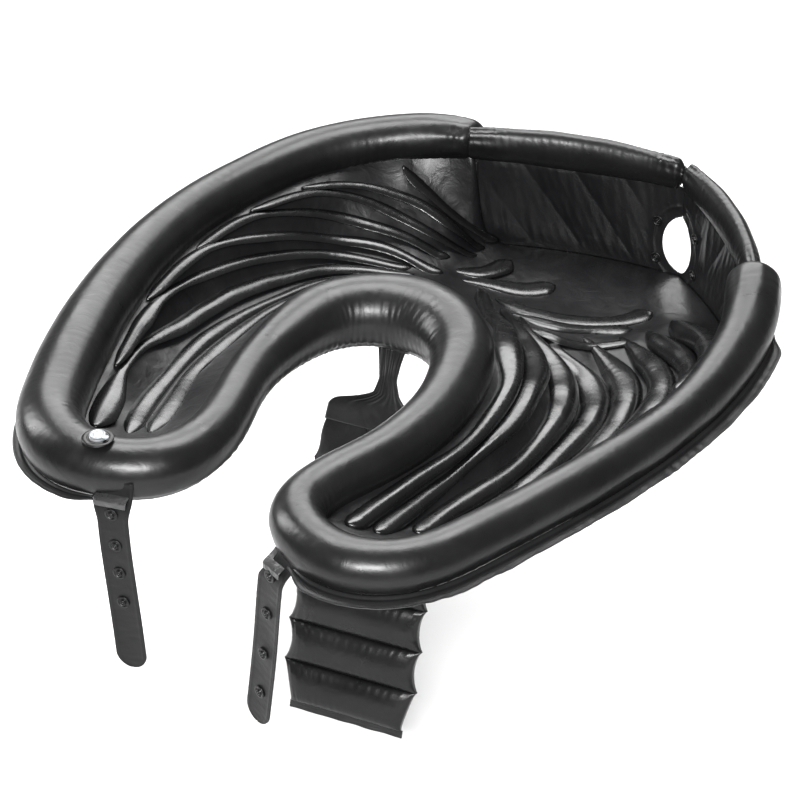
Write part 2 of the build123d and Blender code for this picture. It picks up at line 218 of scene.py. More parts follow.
def slab_faces(rows, cols, start=0):
    """Faces of two matching grids, one after the other, and of the band round their edge."""
    n = rows * cols
    faces = quads(rows, cols, start=start) + quads(rows, cols, start=start + n, flip=True)
    edge = [(i, 0) for i in range(rows)] + [(rows - 1, j) for j in range(1, cols)]
    edge += [(i, cols - 1) for i in range(rows - 2, -1, -1)] + [(0, j) for j in range(cols - 2, 0, -1)]
    ids = [start + i * cols + j for i, j in edge]
    return faces + [(p, q, q + n, p + n) for p, q in zip(ids, ids[1:] + ids[:1])]


def slab(name, top, bottom):
    """A closed skin between two matching grids."""
    points = np.concatenate([top.reshape(-1, 3), bottom.reshape(-1, 3)])
    return mesh_object(name, points, slab_faces(*top.shape[:2]))


def lathe(profile, sides=48):
    """Closed turned piece from (radius, height) points, its axis +Z at the origin."""
    t = np.linspace(0, 2 * np.pi, sides, endpoint=False)
    prof = np.array(profile, float)
    x, y = prof[:, :1] * np.cos(t), prof[:, :1] * np.sin(t)
    return np.stack([x, y, np.repeat(prof[:, 1:], sides, 1)], -1)


def placed(points, origin, x_axis, z_axis):
    """Points moved from the origin to a place with the given axes."""
    z = unit(z_axis)
    x = unit(np.asarray(x_axis, float) - np.dot(x_axis, z) * z)
    y = np.cross(z, x)
    return np.asarray(origin, float) + points[..., :1] * x + points[..., 1:2] * y + points[..., 2:3] * z


# ---- materials ------------------------------------------------------------------------------

def node(tree, kind, x, y, **inputs):
    """Shader node at x, y with some of its inputs set."""
    n = tree.nodes.new(kind)
    n.location = (x, y)
    for key, value in inputs.items():
        n.inputs[key.replace("_", " ")].default_value = value
    return n


def vinyl(name, low, high, rough, spec=0.3, crinkle=0.35, grain=0.12, coat=0.0, crinkle_scale=55.0):
    """Welded PVC film: faint cloudy colour, smeary gloss, soft crinkles and a fine grain."""
    mat = bpy.data.materials.new(name)
    mat.use_nodes = True
    tree = mat.node_tree
    link = tree.links.new
    shade = tree.nodes["Principled BSDF"]
    where = node(tree, "ShaderNodeTexCoord", -1400, 0)
    cloud = node(tree, "ShaderNodeTexNoise", -1100, 300, Scale=14.0, Detail=5.0, Roughness=0.6)
    smear = node(tree, "ShaderNodeTexNoise", -1100, 60, Scale=42.0, Detail=6.0, Roughness=0.65,
                 Distortion=0.6)
    folds = node(tree, "ShaderNodeTexNoise", -1100, -200, Scale=crinkle_scale, Detail=3.0, Roughness=0.5,
                 Distortion=0.9)
    fine = node(tree, "ShaderNodeTexVoronoi", -1100, -460, Scale=900.0)
    ramp = node(tree, "ShaderNodeValToRGB", -820, 300)
    ramp.color_ramp.elements[0].position = 0.3
    ramp.color_ramp.elements[0].color = (*low, 1)
    ramp.color_ramp.elements[1].position = 0.75
    ramp.color_ramp.elements[1].color = (*high, 1)
    gloss = node(tree, "ShaderNodeMapRange", -820, 60)
    gloss.inputs["From Min"].default_value = 0.3
    gloss.inputs["From Max"].default_value = 0.75
    gloss.inputs["To Min"].default_value = rough - 0.06
    gloss.inputs["To Max"].default_value = rough + 0.09
    wide = node(tree, "ShaderNodeBump", -520, -200, Strength=crinkle, Distance=0.0012)
    small = node(tree, "ShaderNodeBump", -280, -300, Strength=grain, Distance=0.0002)
    for tex in (cloud, smear, folds, fine):
        link(where.outputs["Object"], tex.inputs["Vector"])
    link(cloud.outputs["Fac"], ramp.inputs["Fac"])
    link(smear.outputs["Fac"], gloss.inputs["Value"])
    link(folds.outputs["Fac"], wide.inputs["Height"])
    link(fine.outputs["Distance"], small.inputs["Height"])
    link(wide.outputs["Normal"], small.inputs["Normal"])
    link(ramp.outputs["Color"], shade.inputs["Base Color"])
    link(gloss.outputs["Result"], shade.inputs["Roughness"])
    link(small.outputs["Normal"], shade.inputs["Normal"])
    shade.inputs["Specular IOR Level"].default_value = spec
    shade.inputs["Coat Weight"].default_value = coat
    shade.inputs["Coat Roughness"].default_value = 0.12
    return mat


tube_vinyl = vinyl("tube_vinyl", (0.003, 0.003, 0.0032), (0.007, 0.007, 0.0073), 0.32)
rib_vinyl = vinyl("rib_vinyl", (0.002, 0.002, 0.0022), (0.006, 0.006, 0.0063), 0.24, spec=0.45,
                  crinkle=0.18)
floor_vinyl = vinyl("floor_vinyl", (0.003, 0.003, 0.0035), (0.008, 0.008, 0.0085), 0.36, crinkle=0.6)
weld_vinyl = vinyl("weld_vinyl", (0.006, 0.006, 0.0063), (0.014, 0.014, 0.0145), 0.42, crinkle=0.3,
                   grain=0.3)
strap_vinyl = vinyl("strap_vinyl", (0.003, 0.003, 0.0032), (0.007, 0.007, 0.0073), 0.42, spec=0.18,
                    crinkle=0.3, grain=0.25)
patch_vinyl = vinyl("patch_vinyl", (0.012, 0.012, 0.0125), (0.028, 0.028, 0.0285), 0.28, spec=0.6,
                    crinkle=0.7, crinkle_scale=120.0)
stud_plastic = vinyl("stud_plastic", (0.002, 0.002, 0.002), (0.004, 0.004, 0.0042), 0.34, spec=0.25,
                     crinkle=0.05)


def clear_plastic():
    """Cloudy moulded plastic that lets some light through."""
    mat = vinyl("valve_clear", (0.20, 0.20, 0.21), (0.42, 0.43, 0.44), 0.2, spec=0.5, crinkle=0.15,
                crinkle_scale=260.0)
    shade = mat.node_tree.nodes["Principled BSDF"]
    shade.inputs["Transmission Weight"].default_value = 0.35
    shade.inputs["Subsurface Weight"].default_value = 0.1
    return mat


valve_plastic = clear_plastic()


def dress(obj, material, body, replaces):
    """Give a piece its material, the body it rides on and the CAD nodes it stands for."""
    obj.data.materials.clear()
    obj.data.materials.append(material)
    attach(obj, body)
    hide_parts(*replaces)
    return obj


# ---- rim tube -------------------------------------------------------------------------------

path = even(spline(RIM_LINE, (-0.98, 0.2, 0), (-0.35, 0.94, 0)), 2.0)
line, rim_r = path[:, :3], path[:, 3]
run = run_length(line)
ahead = unit(np.gradient(line, axis=0))
outward = unit(np.stack([ahead[:, 1], -ahead[:, 0], 0 * run], 1))
upward = -np.cross(ahead, outward)
heading = np.unwrap(np.arctan2(ahead[:, 1], ahead[:, 0]))
bend = averaged(np.gradient(heading, run))
end_gap = np.minimum(run, run[-1] - run)


def rim_skin():
    """The main air tube: pinched ends, a seam low on each side, and puckers where it bends inwards."""
    sides = 80
    t = np.linspace(0, 2 * np.pi, sides, endpoint=False)[None, :]
    s, gap = run[:, None], end_gap[:, None]
    r = rim_r[:, None] * np.sqrt(1 - 0.93 * np.clip(1 - gap / 15, 0, 1) ** 2.4)
    k = bend[:, None]
    inner_side = np.where(k > 0, -np.cos(t), np.cos(t))
    squeeze = np.clip(np.abs(k) * r * 1.6, 0, 1) * np.clip(inner_side, 0, 1) ** 1.2
    low_out, low_in = 2 * np.pi - 0.66, np.pi + 0.66
    seam_out = np.exp(-((t - low_out) / 0.34) ** 2)
    seam_in = np.exp(-((t - low_in) / 0.34) ** 2)
    pinch = np.exp(-(gap / 34) ** 2)
    soft = waves(s, t, 3, count=8, long=(70, 200), slant=1.0)
    pucker = waves(s, t, 5, count=12, long=(9, 26), slant=2.2, ridged=True)
    fine = waves(s, t, 8, count=14, long=(4.5, 11), slant=3.0, ridged=True)
    push = 0.4 * soft + (0.08 + 0.5 * seam_out + 0.45 * seam_in + 0.6 * squeeze + 0.5 * pinch) * pucker * 0.6
    push += (0.03 + 0.15 * (seam_out + seam_in) + 0.12 * squeeze) * fine
    pleat = np.cos(9 * t + 1.1) * pinch * 0.8
    groove = -0.9 * (np.exp(-((t - low_out) / 0.07) ** 2) + np.exp(-((t - low_in) / 0.07) ** 2))
    radius = r + (np.clip(push, -1.8, 1.2) + groove + pleat) * smooth(gap, 2, 30)
    rings = (line[:, None, :] + (radius * np.cos(t))[..., None] * outward[:, None, :]
             + (radius * np.sin(t))[..., None] * upward[:, None, :])
    return tube("rim_tube_skin", rings)


rim = dress(rim_skin(), tube_vinyl, "basin", ["rim_tube"])

# ---- weld flange ----------------------------------------------------------------------------


def flange(side, name, width, first, last):
    """Welded lip below the tube's equator, with a pressed line and a wavy free edge."""
    keep = (run > first * run[-1]) & (run < last * run[-1])
    c, o, s, r = line[keep], outward[keep], run[keep], rim_r[keep]
    share = np.array([0, 0.1, 0.2, 0.27, 0.33, 0.4, 0.55, 0.7, 0.8, 0.88, 0.94, 1.0])[None, :]
    dip = np.array([0.0, -0.2, -0.5, -0.9, -0.9, -0.2, 0.0, -0.05, -0.1, -0.45, -0.45, 0.0])[None, :]
    ends = smooth(np.minimum(s - s[0], s[-1] - s), 0, 24)[:, None]
    wave = 0.7 * waves(s[:, None], share * 0.3, 21, count=6, long=(26, 70), slant=0.5)
    wave += 0.3 * waves(s[:, None], share * 0.5, 22, count=8, long=(7, 16), slant=0.5)
    reach = r[:, None] * 0.79 + width * share * (0.25 + 0.75 * ends)
    z = -r[:, None] * 0.62 - 0.10 * width * share + dip + wave * share
    top = c[:, None, :] + o[:, None, :] * reach[..., None]
    top[..., 2] += z
    obj = dress(slab(name, top, top - np.array([0, 0, 0.9])), weld_vinyl, "basin",
                [f"{side}_weld_flange"])


flange("right", "right_weld_lip", 14.0, 0.72, 0.975)
flange("left", "left_weld_lip", 10.0, 0.03, 0.36)

# ---- floor ribs -----------------------------------------------------------------------------

LEFT_RIBS = [
    [(-152, 308, -6), (-128, 314, -28), (-100, 326, -56), (-76, 340, -78)],
    [(-215, 226, -8), (-190, 262, -14), (-158, 288, -24), (-129, 301, -36), (-100, 308, -54),
     (-80, 324, -80)],
    [(-233, 165, -8), (-207, 228, -12), (-182, 259, -23), (-147, 280, -40), (-110, 293, -60),
     (-82, 312, -84)],
    [(-237, 83, -8), (-231, 158, -11), (-213, 201, -21), (-190, 241, -36), (-158, 261, -48),
     (-123, 277, -62), (-100, 286, -76)],
    [(-225, -12, -8), (-232, 81, -9), (-224, 134, -20), (-206, 191, -38), (-182, 228, -54),
     (-142, 253, -63), (-94, 262, -79)],
    [(-190, -108, -12), (-216, -15, -10), (-226, 51, -22), (-221, 107, -32), (-203, 172, -49),
     (-175, 216, -63), (-120, 246, -76)],
    [(-154, -188, -14), (-184, -113, -17), (-203, -51, -25), (-209, 24, -41), (-207, 95, -50),
     (-192, 155, -61), (-164, 206, -70), (-112, 238, -78)],
    [(-132, -172, -24), (-153, -126, -32), (-170, -63, -41), (-186, 9, -51), (-186, 74, -59),
     (-177, 132, -66), (-160, 184, -72), (-120, 222, -76)],
    [(-116, -163, -22), (-135, -104, -32), (-156, -45, -43), (-168, 30, -54), (-172, 96, -63),
     (-166, 140, -69), (-140, 186, -73)],
]
RIGHT_RIBS = [
    [(-45, 268, -88), (1, 208, -70), (40, 160, -45), (71, 106, -24), (104, 50, -18), (118, -10, -14),
     (122, -60, -12), (115, -96, -12), (104, -150, -12), (96, -200, -12)],
    [(-6, 240, -84), (45, 181, -59), (85, 128, -43), (121, 55, -24), (133, -2, -20), (130, -48, -22),
     (124, -94, -24), (116, -190, -18)],
    [(20, 228, -78), (50, 191, -67), (83, 166, -64), (117, 122, -58), (140, 66, -50), (150, 3, -44),
     (148, -54, -40), (141, -106, -34), (138, -165, -26)],
    [(56, 212, -78), (88, 180, -71), (113, 170, -74), (144, 135, -71), (161, 82, -63), (166, 25, -55),
     (168, -15, -50), (166, -80, -40), (160, -150, -26)],
    [(80, 236, -84), (108, 217, -82), (139, 194, -77), (167, 152, -70), (182, 101, -64), (188, 50, -57),
     (190, -10, -46), (184, -80, -32), (176, -140, -16)],
    [(110, 252, -84), (133, 236, -79), (167, 206, -68), (193, 169, -59), (204, 134, -54), (210, 80, -46),
     (210, 20, -36), (204, -50, -22)],
    [(130, 268, -80), (160, 246, -70), (190, 218, -58), (214, 180, -46), (226, 138, -34), (230, 80, -24),
     (228, 20, -14)],
    [(142, 296, -80), (176, 272, -66), (204, 236, -48), (224, 196, -34), (234, 150, -20), (236, 100, -12)],
]
TROUGH_RIBS = [
    [(-84, 280, -87), (-58, 298, -90), (-44, 330, -90)],
    [(-66, 270, -87), (-37, 286, -92), (-10, 300, -95), (10, 318, -95)],
    [(-23, 260, -89), (22, 250, -86), (63, 266, -90), (94, 287, -91), (114, 313, -89)],
    [(9, 231, -80), (50, 232, -80), (78, 252, -87), (112, 276, -89)],
    [(40, 206, -72), (64, 200, -70), (96, 221, -82), (126, 246, -81)],
]


def run_on(crest, extra):
    """The same line, carried on by extra at its far end."""
    step = crest[-1] - crest[-4]
    more = crest[-1] + unit(step * (1, 1, 0.5)) * np.arange(3.0, extra + 1, 3.0)[:, None]
    return np.concatenate([crest, more])


LEFT_RUN_ON = 14
rib_crests = {"left": [run_on(even(spline(r), 3.0), LEFT_RUN_ON) for r in LEFT_RIBS],
              "right": [even(spline(r), 3.0) for r in RIGHT_RIBS],
              "trough": [even(spline(r), 3.0) for r in TROUGH_RIBS]}


# widest and narrowest half width, and height as a share of the half width
RIB_SHAPE = {"left": (16.0, 6.5, 0.5), "right": (16.0, 5.0, 0.8), "trough": (14.0, 5.0, 0.42)}
# how pointed the crest is, and how crinkled
RIB_CREST = {"left": (1.7, 0.16), "right": (1.0, 0.3), "trough": (1.0, 0.3)}


def rib_size(crest, side):
    """Run, half width, height and end taper of one air channel: as wide as its neighbours let it be."""
    widest, least, share = RIB_SHAPE[side]
    free = np.full(len(crest), 2 * widest)
    for other in (c for group in rib_crests.values() for c in group):
        if other is not crest:
            gap = np.linalg.norm(crest[:, None, :] - other[None, :, :], axis=2).min(1)
            free = np.minimum(free, gap)
    half = averaged(np.clip(0.52 * free, least, widest))
    s = run_length(crest)
    start_taper, end_taper = 22, 10
    ends = np.clip(np.minimum(s / start_taper, (s[-1] - s) / end_taper), 0.02, 1) ** 0.5
    half = half * ends
    return s, half, share * half + 0.3, ends


def rib_rings(crest, side, seed):
    """Rings of one air channel, crinkled along its welded edges."""
    along = unit(np.gradient(crest, axis=0))
    across = unit(np.cross(along, (0, 0, 1.0)))
    up = np.cross(across, along)
    s, half, tall, ends = rib_size(crest, side)
    s, half, tall, ends = s[:, None], half[:, None], tall[:, None], ends[:, None]
    t = np.linspace(0, 2 * np.pi, 36, endpoint=False)[None, :]
    peak, crinkle = RIB_CREST[side]
    lobe = np.where(np.sin(t) > 0, np.abs(np.sin(t)) ** peak, 0.5 * np.sin(t))
    ripple = waves(s, 2 * t, seed, count=12, long=(7, 22), slant=2.5, ridged=True)
    swell = waves(s, t, seed + 7, count=6, long=(40, 110), slant=1.0)
    z = tall * lobe * (1 + 0.05 * swell)
    z = z + (crinkle * ripple * np.abs(np.cos(t)) ** 0.6 + 0.03 * ripple) * ends
    z = z - tall + 2.0 * ends
    sideways = (half * np.cos(t))[..., None] * across[:, None, :]
    return crest[:, None, :] + sideways + z[..., None] * up[:, None, :]


def channels(side, seed):
    """One panel's air channels as closed skins in one object."""
    skins = [rib_rings(crest, side, seed + i) for i, crest in enumerate(rib_crests[side])]
    return closed_tubes(f"{side}_rib_channels", skins)


for side, seed, old in (("left", 31, "left_floor_ribs"), ("right", 41, "right_floor_ribs"),
                        ("trough", 61, "trough_ribs")):
    ribs = dress(channels(side, seed), rib_vinyl, "basin", [old])

# ---- floor film -----------------------------------------------------------------------------


WALL_FOOT_Z = -92.0
WALL_BOW = 10
FILM_CELL = 3.2
FILM_X, FILM_Y = (-300, 301), (-300, 421)
FILM_START_Z = -40.0
RELAX_STEPS = 1900
FILM_THICKNESS = 0.0009


def wall_outward(side, along):
    """Level direction out of the bowl, square to a wall's own direction."""
    turned = np.stack([-along[..., 1], along[..., 0]], -1)
    return turned if side == "left" else -turned


def wall_arc(side, count=200):
    """The foot of a rear wall, bowed outwards, from the rim tube's end to the drain corner."""
    a, c = np.array(WALLS[side], float), np.array(CORNER, float)
    out = wall_outward(side, unit(c - a))
    return arc3(a, (a + c) / 2 + out * WALL_BOW, c, count)


def film_edge():
    """Where the floor film is welded: inside the rim tube, then along the feet of both walls."""
    rim_edge = line - outward * (rim_r * 0.45)[:, None] - np.array([0, 0, 1.0]) * (rim_r * 0.35)[:, None]
    foot = np.concatenate([wall_arc("right"), wall_arc("left")[::-1][1:]])
    foot = np.concatenate([foot, np.full((len(foot), 1), WALL_FOOT_Z)], 1)
    return even(np.concatenate([rim_edge, foot, rim_edge[:1]]), 1.5)


def within(edge, gx, gy):
    """Which grid points lie inside a closed outline."""
    inside = np.zeros(gx.shape, bool)
    for (x0, y0), (x1, y1) in zip(edge[:-1, :2], edge[1:, :2]):
        if y0 == y1:
            continue
        crosses = (y0 > gy) != (y1 > gy)
        inside ^= crosses & (gx < (x1 - x0) * (gy - y0) / (y1 - y0) + x0)
    return inside


def beside(z):
    """Mean of the four neighbours of each grid point."""
    pad = np.pad(z, 1, mode="edge")
    return (pad[:-2, 1:-1] + pad[2:, 1:-1] + pad[1:-1, :-2] + pad[1:-1, 2:]) / 4


def film_heights(edge, xs, ys):
    """A film stretched over a grid, held at its edge and under every air channel."""
    pins = [edge]
    for side, group in rib_crests.items():
        for crest in group:
            sunk = crest.copy()
            sunk[:, 2] -= rib_size(crest, side)[2] - 1.0
            pins.append(even(sunk, 1.5))
    pins = np.concatenate(pins)
    ix = np.clip(np.round((pins[:, 0] - xs[0]) / FILM_CELL).astype(int), 0, len(xs) - 1)
    iy = np.clip(np.round((pins[:, 1] - ys[0]) / FILM_CELL).astype(int), 0, len(ys) - 1)
    total, hits = np.zeros((len(xs), len(ys))), np.zeros((len(xs), len(ys)))
    np.add.at(total, (ix, iy), pins[:, 2])
    np.add.at(hits, (ix, iy), 1)
    fixed = hits > 0
    hold = np.where(fixed, total / np.maximum(hits, 1), FILM_START_Z)
    z = hold.copy()
    for _ in range(RELAX_STEPS):
        z = beside(z)
        z[fixed] = hold[fixed]
    for _ in range(2):
        z = 0.5 * z + 0.5 * beside(z)
    return z


def floor_film():
    """The bowl's floor as one film with soft creases, trimmed to its weld line."""
    edge = film_edge()
    xs, ys = np.arange(*FILM_X, FILM_CELL), np.arange(*FILM_Y, FILM_CELL)
    gx, gy = np.meshgrid(xs, ys, indexing="ij")
    inside = within(edge, gx, gy)
    z = film_heights(edge, xs, ys)
    z += 0.7 * waves(gx * 0.8 + gy * 0.6, gy * 0.03, 61, count=9, long=(16, 50), slant=2.0, ridged=True)
    points = np.stack([gx, gy, z], -1)
    near = np.zeros_like(inside)
    pad = np.pad(inside, 1)
    for dx in (0, 1, 2):
        for dy in (0, 1, 2):
            near |= pad[dx:dx + inside.shape[0], dy:dy + inside.shape[1]]
    border = near & ~inside
    for i, j in zip(*np.nonzero(border)):
        points[i, j] = edge[np.argmin((edge[:, 0] - gx[i, j]) ** 2 + (edge[:, 1] - gy[i, j]) ** 2)]
    used = inside | border
    number = -np.ones(gx.shape, int)
    number[used] = np.arange(used.sum())
    full = used[:-1, :-1] & used[1:, :-1] & used[1:, 1:] & used[:-1, 1:]
    touch = inside[:-1, :-1] | inside[1:, :-1] | inside[1:, 1:] | inside[:-1, 1:]
    faces = [(number[i, j], number[i + 1, j], number[i + 1, j + 1], number[i, j + 1])
             for i, j in zip(*np.nonzero(full & touch))]
    obj = mesh_object("floor_film", points[used], faces)
    bm = bmesh.new()
    bm.from_mesh(obj.data)
    inner = [v for v in bm.verts if not v.is_boundary]
    for _ in range(5):
        bmesh.ops.smooth_vert(bm, verts=inner, factor=0.5, use_axis_x=True, use_axis_y=True,
                              use_axis_z=True)
    bm.to_mesh(obj.data)
    bm.free()
    thick = obj.modifiers.new("film", "SOLIDIFY")
    thick.thickness = FILM_THICKNESS
    thick.offset = -1
    return obj


film = dress(floor_film(), floor_vinyl, "basin",
             ["left_floor_film", "right_floor_film", "rear_floor_film"])

# ---- rear walls -----------------------------------------------------------------------------

WALL_TOP_Z = 17.0


def led_in(c, count):
    """The line with count more points in front, carried straight back."""
    return np.concatenate([c[0] - (c[1] - c[0]) * np.arange(count, 0, -1)[:, None], c])


def wall_edge(side):
    """Inflated top edge, gathered where it is pinched at both ends."""
    c = led_in(even(wall_arc(side), 1.5)[:-1], 11)
    s = run_length(c)
    at = s / s[-1]
    along = unit(np.gradient(c, axis=0))
    out = wall_outward(side, along)
    r = 7 + 12.0 * np.sin(np.pi * (0.16 + 0.72 * at)) ** 0.5
    r *= np.clip((1 - at) / 0.03, 0.25, 1) ** 0.4
    t = np.linspace(0, 2 * np.pi, 64, endpoint=False)[None, :]
    ends = np.exp(-(s[:, None] / 26) ** 2) + np.exp(-((s[-1] - s[:, None]) / 26) ** 2)
    push = 0.5 * waves(s[:, None], t, 71, count=6, long=(40, 120), slant=1.0)
    gather = waves(s[:, None], t, 72, count=12, long=(8, 22), slant=2.4, ridged=True)
    push += (0.25 + 0.9 * ends) * 0.7 * gather
    push += 1.0 * ends * np.cos(8 * t + 0.6)
    foot = -1.4 * np.exp(-((t - 1.5 * np.pi) / 0.22) ** 2)
    radius = r[:, None] + np.clip(push, -2.2, 1.0) + foot
    x = radius * np.cos(t) * 0.55
    z = WALL_TOP_Z + radius * np.sin(t)
    rings = np.stack([c[:, :1] + x * out[:, :1], c[:, 1:] + x * out[:, 1:], z], -1)
    obj = dress(tube(f"{side}_wall_top_tube", rings), tube_vinyl, f"{side}_wall",
                [f"{side}_wall_edge_tube"])


def wall_film(side):
    """Film wall with quilted diagonals, a ring weld and half of the almond-shaped drain hole."""
    c = led_in(even(wall_arc(side), 1.0), 15)
    s = run_length(c)
    total = s[-1]
    z = np.linspace(WALL_FOOT_Z, 4, 90)
    half = np.zeros_like(z)
    hole_foot, hole_top, hole_half = -88, -27, 19
    mid, reach = (hole_foot + hole_top) / 2, (hole_top - hole_foot) / 2
    band = np.abs(z - mid) < reach
    half[band] = hole_half * (1 - ((z[band] - mid) / reach) ** 2) ** 0.62
    share = np.linspace(0, 1, 170) ** 0.85
    grid_s = share[:, None] * (total * 0.999 - half[None, :])
    x = np.interp(grid_s, s, c[:, 0])
    y = np.interp(grid_s, s, c[:, 1])
    along = unit(np.gradient(c, axis=0))
    ax = np.interp(grid_s, s, along[:, 0])
    ay = np.interp(grid_s, s, along[:, 1])
    out = wall_outward(side, np.stack([ax, ay], -1))
    zz = np.broadcast_to(z[None, :], grid_s.shape)
    lane = ((grid_s + 0.72 * zz) / 50) % 1.0
    away = smooth(total - grid_s, 34, 52) * smooth(zz, -90, -70) * smooth(-zz, -8, 6) * smooth(grid_s, 8, 30)
    puff = 2.3 * (np.sin(np.pi * lane) ** 0.6) * away
    ring = np.hypot((total - grid_s) / 29.0, (zz - mid) / 41.0)
    ring_ridge = 1.1 * np.exp(-((ring - 1) / 0.045) ** 2) * smooth(total - grid_s, 0, 6)
    lip_gap = total * 0.999 - half[None, :] - grid_s
    lip = 0.8 * np.exp(-(lip_gap / 1.6) ** 2) * band[None, :]
    ripple = 0.35 * waves(grid_s + 0.3 * zz, zz * 0.03, 81, count=9, long=(9, 30), slant=2.0, ridged=True)
    offset = -(puff + ring_ridge + lip + ripple * smooth(zz, -92, -80))
    mid_sheet = np.stack([x + out[..., 0] * offset, y + out[..., 1] * offset, zz], -1)
    o3 = np.concatenate([out, np.zeros(out.shape[:2] + (1,))], -1)
    obj = slab(f"{side}_wall_curtain", mid_sheet - o3 * 0.45, mid_sheet + o3 * 0.45)
    dress(obj, floor_vinyl, f"{side}_wall", [f"{side}_wall_film"])


def corner_weld(side, foot, across):
    """Upright heat-sealed strip where the rim, the floor and a wall meet."""
    u = np.linspace(-4, 4, 9)[None, :]
    z = np.linspace(-79, -2, 60)[:, None]
    wobble = 0.5 * waves(z, u * 0.1, 131, count=8, long=(8, 26), slant=1.0, ridged=True)
    wobble = wobble + 0.5 * np.exp(-((np.abs(u) - 2.8) / 0.6) ** 2)
    a = unit(np.array([across[0], across[1], 0.0]))
    n = np.array([-a[1], a[0], 0.0])
    base = np.array([foot[0], foot[1], 0.0]) + 0.35 * wobble[..., None] * a + (u + 0 * z)[..., None] * n
    base[..., 2] = z + 0 * u
    lift = (0.45 + 0.12 * wobble)[..., None] * a
    dress(slab(f"{side}_corner_seal", base + lift, base - lift), weld_vinyl, "basin",
          [f"{side}_pinch_weld"])


for side in ("left", "right"):
    wall_edge(side)
    wall_film(side)
corner_weld("left", (-91, 346), (0.98, -0.2))
corner_weld("right", (235, 254), (-0.47, 0.88))

# ---- press studs ----------------------------------------------------------------------------


def stud_rings(thickness):
    """Cap on the back, shank through the film, ring and socket on the front."""
    f = thickness / 2 + 0.03
    return lathe([
        (0.02, -f - 2.0), (1.6, -f - 1.95), (3.0, -f - 1.6), (4.1, -f - 0.9), (4.4, -f - 0.3), (4.4, -f),
        (2.4, -f), (2.4, f), (5.3, f), (5.5, f + 0.25), (5.5, f + 0.9), (5.2, f + 1.25), (4.4, f + 1.35),
        (3.9, f + 1.2), (3.7, f + 0.7), (2.9, f + 0.6), (2.6, f + 0.8), (2.5, f + 1.9), (2.2, f + 2.4),
        (1.5, f + 2.6), (1.2, f + 2.3), (1.0, f + 1.2), (0.02, f + 1.1)])


def studs(name, places, thickness, body, replaced):
    """Identical press studs, one at each place, as one object."""
    skins = [placed(stud_rings(thickness), *place) for place in places]
    dress(closed_tubes(name, skins), stud_plastic, body, [replaced])


for side in ("left", "right"):
    c = even(wall_arc(side), 0.5)
    i = len(c) - 51
    inward = (*-wall_outward(side, unit(c[i + 1] - c[i - 1])), 0)
    places = [((c[i][0], c[i][1], z), (0, 0, 1), inward) for z in (-38, -78)]
    studs(f"{side}_drain_press_studs", places, 1.5, f"{side}_wall", f"{side}_drain_snaps")

# ---- straps ---------------------------------------------------------------------------------

# root, turn and tilt in degrees, length, and the studs' places down from the root
STRAPS = {
    "left": ((-80, -268, -7), 9, 3.4, 170, (17, 47, 74, 103)),
    "right": ((70, -266, -15), -17, -8, 174, (14, 54, 98, 141)),
}


def strap_axes(turn, tilt):
    """Across, up along the strap, and out of its front."""
    a, b = math.radians(turn), math.radians(tilt)
    across = np.array([math.cos(a), math.sin(a), 0])
    front = np.array([math.sin(a), -math.cos(a), 0])
    up = np.cross(front, across)
    x = across * math.cos(b) + up * math.sin(b)
    return x, np.cross(front, x), front


def strap_weld(side, root, x_axis, front):
    """Faceted weld patch that carries a strap on the rim's skin, dented by the strap's pull."""
    u = np.linspace(-1, 1, 41)[None, :]
    h = np.linspace(0, 1, 33)[:, None]
    dents = waves(u * 16, h * 2.2, 141 if side == "left" else 142, count=6, long=(12, 30), slant=2.0)
    inside = np.clip(np.minimum(1 - np.abs(u), np.minimum(h, 1 - h) * 2) / 0.25, 0, 1)
    depth = -11.0 + 13.0 * smooth(h, 0.0, 0.62) + 0.5 * dents * inside
    wide = (15.0 if side == "left" else 10.0) - 1.2 * h
    up = np.array([0, 0, 1.0])
    place = (root + (u * wide)[..., None] * x_axis + ((2.0 - 12 * h) + 0 * u)[..., None] * up
             + (depth + 0 * u)[..., None] * front)
    dress(slab(f"{side}_strap_weld", place, place - 1.1 * front), patch_vinyl, "basin",
          [f"{side}_strap_patch"])


